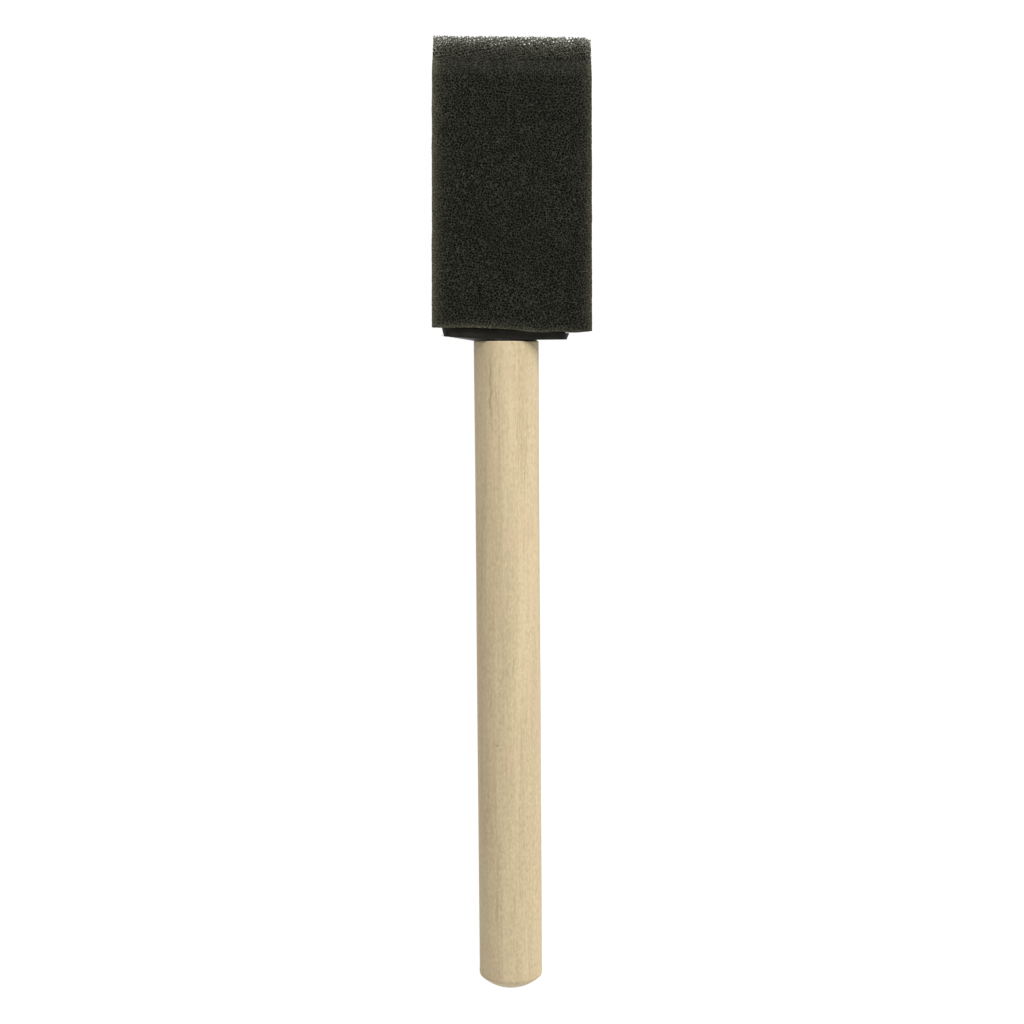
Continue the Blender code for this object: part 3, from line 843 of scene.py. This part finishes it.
def shadowSkirt():
    # a closed ring round the tenon: a circle on the shoulder, up to an oval in the collar, and back down
    # a black skirt that closes the gap under the collar and stands in for the contact shadow there
    inner = dowelShape["tenonRadius"] + 0.0001
    circle = coreFinish["skirtRadius"]
    wide, deep = coreFinish["flareHalf"]
    low, high = shoulderY - 0.00001, shoulderY + coreFinish["skirtTop"]
    loops = [
        (inner, inner, 0, low),
        (circle, circle, 0, low),
        (wide, deep, coreFinish["flareX"], high),
        (inner, inner, 0, high),
        (inner, inner, 0, low),
    ]
    around = 96
    halfX, halfZ, shift, y = np.array(loops).T[..., None]
    angle = np.linspace(0, 2 * math.pi, around, endpoint=False)[None]
    columns = (handleTopX + shift + halfX * np.sin(angle), y, axisHeight + halfZ * np.cos(angle))
    points = np.stack(np.broadcast_arrays(*columns), axis=-1)
    faces, layout = gridFaces(len(loops), around)
    return makeMesh("shadowSkirt", points.reshape(-1, 3), [faces], layout, {})


def makeCore():
    # the moulding with its collar's top slanted up to the foam, a dark skirt joined on under the collar
    # that stands in for the contact shadow at the handle's shoulder, and its corners rounded
    mesh = frame["nodes"]["core"].data.copy()
    mesh.name = "plasticCore"
    work = bmesh.new()
    work.from_mesh(mesh)
    bmesh.ops.remove_doubles(work, verts=work.verts, dist=2e-6)
    bmesh.ops.dissolve_limit(work, angle_limit=math.radians(1), verts=work.verts, edges=work.edges)
    work.to_mesh(mesh)
    work.free()
    places = np.zeros(len(mesh.vertices) * 3)
    mesh.vertices.foreach_get("co", places)
    places = places.reshape(-1, 3)
    low, high = coreFinish["collarTop"]
    onTop = (places[:, 1] > shoulderY + low) & (places[:, 1] < shoulderY + high)
    places[:, 1] += onTop * coreFinish["collarSlant"] * (coreFinish["slantFrom"] - places[:, 0])
    mesh.vertices.foreach_set("co", places.ravel())
    core = bpy.data.objects.new("plasticCore", mesh)
    bpy.context.scene.collection.objects.link(core)
    ring = shadowSkirt()
    join = core.modifiers.new("ContactShadowSkirt", "BOOLEAN")
    join.operation = "UNION"
    join.object = ring
    graph = bpy.context.evaluated_depsgraph_get()
    mesh = bpy.data.meshes.new_from_object(core.evaluated_get(graph))
    core.modifiers.remove(join)
    core.data = mesh
    bpy.data.objects.remove(ring)
    mesh.uv_layers.remove(mesh.uv_layers[bakeMap])
    mesh.materials.clear()
    mesh.materials.append(plasticMaterial())
    bevel = core.modifiers.new("Rounding", "BEVEL")
    bevel.width = coreFinish["rounding"]
    bevel.segments = 3
    bevel.limit_method = "ANGLE"
    bevel.angle_limit = math.radians(40)
    mesh.shade_smooth()
    mesh.set_sharp_from_angle(angle=math.radians(35))
    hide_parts("core")
    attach(core, joint["parent"])
    return core


# the glue

glueFinish = {
    "bubbles": (1400.0, 0.3),
    "clear": (0.66, 0.55, 0.31),
    "cloudy": (0.80, 0.73, 0.54),
}


def finishGlue():
    # amber hot-melt: cloudy streaks and tiny bubbles under a soft shine
    material, tree, surface = newMaterial("hotMelt")
    spots, clouds = addSpecks(tree, place(tree), *glueFinish["bubbles"])
    colour = mixColours(tree, remap(tree, clouds, 0.3, 0.7), glueFinish["clear"], glueFinish["cloudy"])
    colour = mixColours(tree, maths(tree, "MULTIPLY", spots, 0.5), colour, glueFinish["cloudy"])
    tree.links.new(colour, surface.inputs["Base Color"])
    tree.links.new(remap(tree, clouds, 0.3, 0.7, 0.22, 0.4), surface.inputs["Roughness"])
    addBump(tree, surface, clouds, 0.00005)
    for name in ("foam_glue", "socket_glue"):
        for materialSlot in frame["nodes"][name].material_slots:
            materialSlot.material = material


# the studio

studio = {
    "cameraHeight": 0.276,      # above the handle's centre line
    "cameraTilt": 5.66,         # degrees
    "cameraX": 0.00002,
    "lens": 60.68,
    "sky": 0.32,
    "lightDistance": 0.95,
    "lightSize": 0.45,
    "keyFrom": (0.32, 0.62, 0.68),
    "keyPower": 7.8,
    "fillFrom": (0.32, -0.78, 0.54),
    "fillPower": 1.4,
    "floor": 0.12,
    "floorGlow": 0.97,
    "floorDrop": 0.00015,
    "floorHalf": 3,
}


def makeStudio():
    # an even pale surround, a large soft light from the upper right and a weak one from the handle's end,
    # a white floor that glows, and the camera above
    scene = bpy.context.scene
    scene.view_settings.view_transform = "Standard"
    world = bpy.data.worlds.new("surround")
    world.use_nodes = True
    background = world.node_tree.nodes["Background"]
    background.inputs["Color"].default_value = (1, 1, 1, 1)
    background.inputs["Strength"].default_value = studio["sky"]
    scene.world = world

    for name in ("key", "fill"):
        light = bpy.data.lights.new(name, "AREA")
        light.size = studio["lightSize"]
        light.energy = studio[name + "Power"]
        lamp = bpy.data.objects.new(name, light)
        toLamp = Vector(studio[name + "From"]).normalized()
        lamp.location = toLamp * studio["lightDistance"]
        lamp.rotation_euler = toLamp.to_track_quat("Z", "Y").to_euler()
        scene.collection.objects.link(lamp)

    half = studio["floorHalf"]
    signs = ((-1, -1), (1, -1), (1, 1), (-1, 1))
    corners = [(x * half, y * half, -studio["floorDrop"]) for x, y in signs]
    mesh = bpy.data.meshes.new("floor")
    mesh.from_pydata(corners, [], [(0, 1, 2, 3)])
    material, tree, surface = newMaterial("paleFloor")
    surface.inputs["Base Color"].default_value = (studio["floor"],) * 3 + (1,)
    surface.inputs["Roughness"].default_value = 0.9
    surface.inputs["Specular IOR Level"].default_value = 0.0
    surface.inputs["Emission Color"].default_value = (1, 1, 1, 1)
    surface.inputs["Emission Strength"].default_value = studio["floorGlow"]
    mesh.materials.append(material)
    floor = bpy.data.objects.new("floor", mesh)
    scene.collection.objects.link(floor)

    lens = bpy.data.cameras.new("camera")
    lens.lens = studio["lens"]
    lens.sensor_width = 36
    lens.clip_start = 0.01
    camera = bpy.data.objects.new("camera", lens)
    camera.location = (studio["cameraX"], shoulderY, axisHeight + studio["cameraHeight"])
    camera.rotation_euler = (math.radians(-studio["cameraTilt"]), 0, 0)
    scene.collection.objects.link(camera)
    scene.camera = camera


makeStudio()
makeFoamBlock()
makeStruts()
makeHandle()
makeCore()
finishGlue()
print("pieces done")
